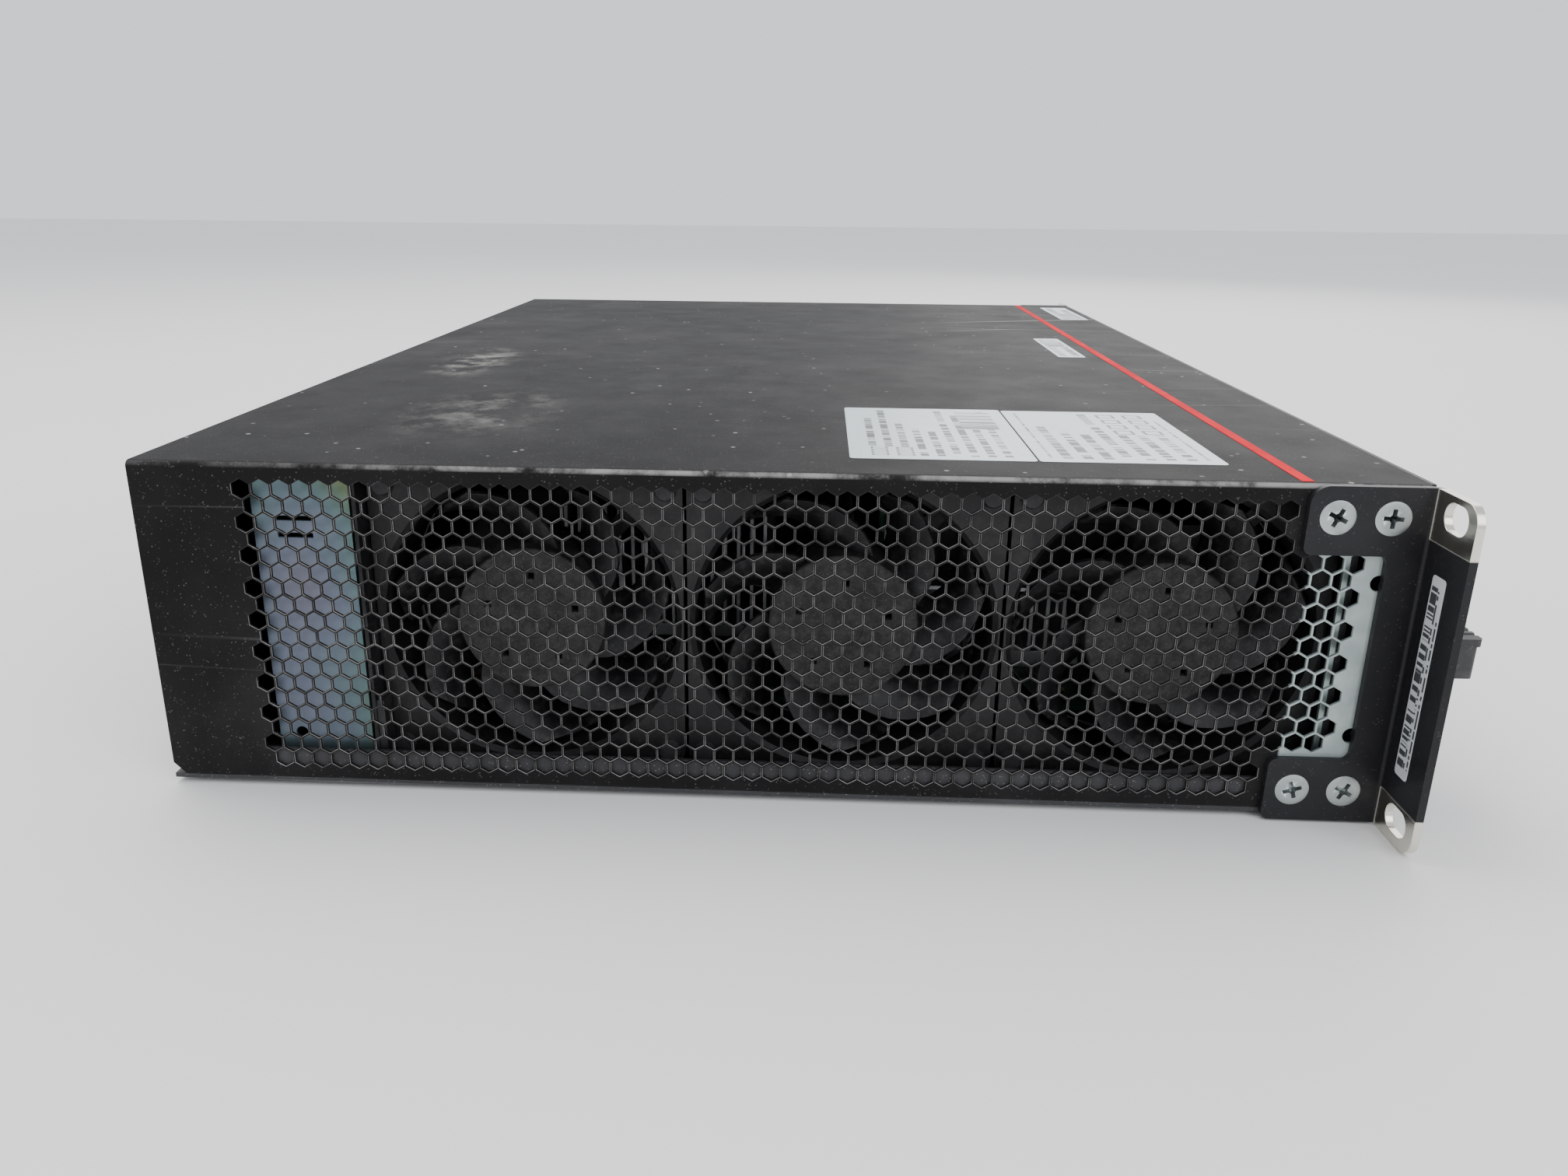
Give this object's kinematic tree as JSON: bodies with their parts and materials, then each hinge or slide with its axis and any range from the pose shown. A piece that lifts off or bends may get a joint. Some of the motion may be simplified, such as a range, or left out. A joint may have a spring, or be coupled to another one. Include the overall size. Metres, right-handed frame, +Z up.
{
  "type": "rack firewall appliance",
  "caption": "Two-unit rack firewall with rack ears, a side-vented slide-out fan tray, plug-in power supplies and a removable expansion card.",
  "frame": {"origin": "centre of the footprint, on the plane that the feet stand on", "axes": "+X across the chassis towards the power supplies' side, -Y towards the front panel, +Z up"},
  "size_m": [0.4826, 0.3561, 0.0876],
  "materials": {
    "cover_black": "worn satin powder coat",
    "frame_black": "satin powder coat",
    "bare_zinc": "bright zinc-coated sheet",
    "yellow_zinc": "iridescent passivated zinc",
    "screw_zinc": "bright zinc",
    "foot_rubber": "matte",
    "brass": "satin",
    "fan_black": "dusty satin",
    "board_green": "solder mask",
    "socket_ivory": "satin",
    "jack_steel": "stamped shield",
    "psu_steel": "satin zinc",
    "handle_black": "fine moulded texture",
    "latch_red": "satin",
    "inlet_black": "satin",
    "sink_aluminium": "extruded",
    "light_pipe": "clear",
    "part_black": "moulded"
  },
  "bodies": {
    "chassis": {"base_pan": "frame_black", "top_cover": "cover_black", "left_vent_field": "cover_black", "right_vent_field": "cover_black", "front_panel": "frame_black", "rear_panel": "frame_black", "left_ear": "frame_black", "right_ear": "frame_black", "ear_screws": "screw_zinc", "ear_backing_plates": "bare_zinc", "panel_screws": "screw_zinc", "feet": "foot_rubber", "ground_stud": "brass", "fan_bay_wall": "bare_zinc", "dock_bracket": "yellow_zinc", "dock_socket": "socket_ivory", "psu_cage": "bare_zinc", "slot_shelf": "bare_zinc", "card_rails": "part_black", "main_board": "board_green", "board_standoffs": "brass", "board_parts": "part_black", "processor_heat_sink": "sink_aluminium", "switch_heat_sink": "sink_aluminium", "memory_modules": "board_green", "midplane": "board_green", "midplane_sockets": "socket_ivory", "port_gang_left": "jack_steel", "port_gang_right": "jack_steel", "module_cages": "jack_steel", "console_port": "jack_steel", "usb_port": "jack_steel", "status_lights": "light_pipe", "reset_switch": "part_black", "slot_blank": "frame_black"},
    "fan_tray": {"tray_frame": "bare_zinc", "tray_faceplate": "frame_black", "tray_handle": "handle_black", "tray_plug": "socket_ivory", "fan_frames": "fan_black", "fan_rivets": "part_black", "fan_harness": "part_black"},
    "rear_fan": {"rear_fan_rotor": "fan_black"},
    "middle_fan": {"middle_fan_rotor": "fan_black"},
    "front_fan": {"front_fan_rotor": "fan_black"},
    "upper_thumb": {"upper_thumbscrew": "screw_zinc"},
    "lower_thumb": {"lower_thumbscrew": "screw_zinc"},
    "lower_psu": {"lower_psu_case": "psu_steel", "lower_psu_inlet": "inlet_black", "lower_psu_handle": "handle_black"},
    "upper_psu": {"upper_psu_case": "psu_steel", "upper_psu_inlet": "inlet_black", "upper_psu_handle": "handle_black"},
    "lower_latch": {"lower_psu_latch": "latch_red"},
    "upper_latch": {"upper_psu_latch": "latch_red"},
    "card": {"card_body": "frame_black", "card_ports": "jack_steel"},
    "left_lever": {"card_lever_left": "screw_zinc"},
    "right_lever": {"card_lever_right": "screw_zinc"},
    "reset": {"reset_button": "socket_ivory"}
  },
  "joints": [
    {"name": "fan_tray_slide", "type": "slide", "parent": "chassis", "child": "fan_tray", "axis": [0, -1, 0], "range_m": [0, 0.27]},
    {"name": "rear_fan_spin", "type": "hinge", "parent": "fan_tray", "child": "rear_fan", "pos_m": [-0.2, 0.0605, 0.04465], "axis": [1, 0, 0], "continuous": true},
    {"name": "middle_fan_spin", "type": "hinge", "parent": "fan_tray", "child": "middle_fan", "pos_m": [-0.2, -0.0205, 0.04465], "axis": [1, 0, 0], "continuous": true},
    {"name": "front_fan_spin", "type": "hinge", "parent": "fan_tray", "child": "front_fan", "pos_m": [-0.2, -0.1015, 0.04465], "axis": [1, 0, 0], "continuous": true},
    {"name": "upper_thumbscrew_turn", "type": "hinge", "parent": "fan_tray", "child": "upper_thumb", "pos_m": [-0.1783, -0.159, 0.0736], "axis": [0, -1, 0], "continuous": true},
    {"name": "lower_thumbscrew_turn", "type": "hinge", "parent": "fan_tray", "child": "lower_thumb", "pos_m": [-0.1783, -0.159, 0.0155], "axis": [0, -1, 0], "continuous": true},
    {"name": "lower_psu_slide", "type": "slide", "parent": "chassis", "child": "lower_psu", "axis": [0, 1, 0], "range_m": [0, 0.18]},
    {"name": "lower_latch_squeeze", "type": "hinge", "parent": "lower_psu", "child": "lower_latch", "pos_m": [0.12905, 0.1598, 0.02378], "axis": [0, 0, -1], "range_deg": [0, 12], "stiffness_Nm_per_rad": 0.05},
    {"name": "upper_psu_slide", "type": "slide", "parent": "chassis", "child": "upper_psu", "axis": [0, 1, 0], "range_m": [0, 0.18]},
    {"name": "upper_latch_squeeze", "type": "hinge", "parent": "upper_psu", "child": "upper_latch", "pos_m": [0.12905, 0.1598, 0.06552], "axis": [0, 0, -1], "range_deg": [0, 12], "stiffness_Nm_per_rad": 0.05},
    {"name": "card_slide", "type": "slide", "parent": "chassis", "child": "card", "axis": [0, -1, 0], "range_m": [0, 0.118]},
    {"name": "left_lever_swing", "type": "hinge", "parent": "card", "child": "left_lever", "pos_m": [-0.1603, -0.1624, 0.067], "axis": [0, 0, -1], "range_deg": [0, 75]},
    {"name": "right_lever_swing", "type": "hinge", "parent": "card", "child": "right_lever", "pos_m": [0.0126, -0.1624, 0.067], "axis": [0, 0, 1], "range_deg": [0, 75]},
    {"name": "reset_press", "type": "slide", "parent": "chassis", "child": "reset", "axis": [0, 1, 0], "range_m": [0, 0.0015], "stiffness_N_per_m": 200}
  ]
}
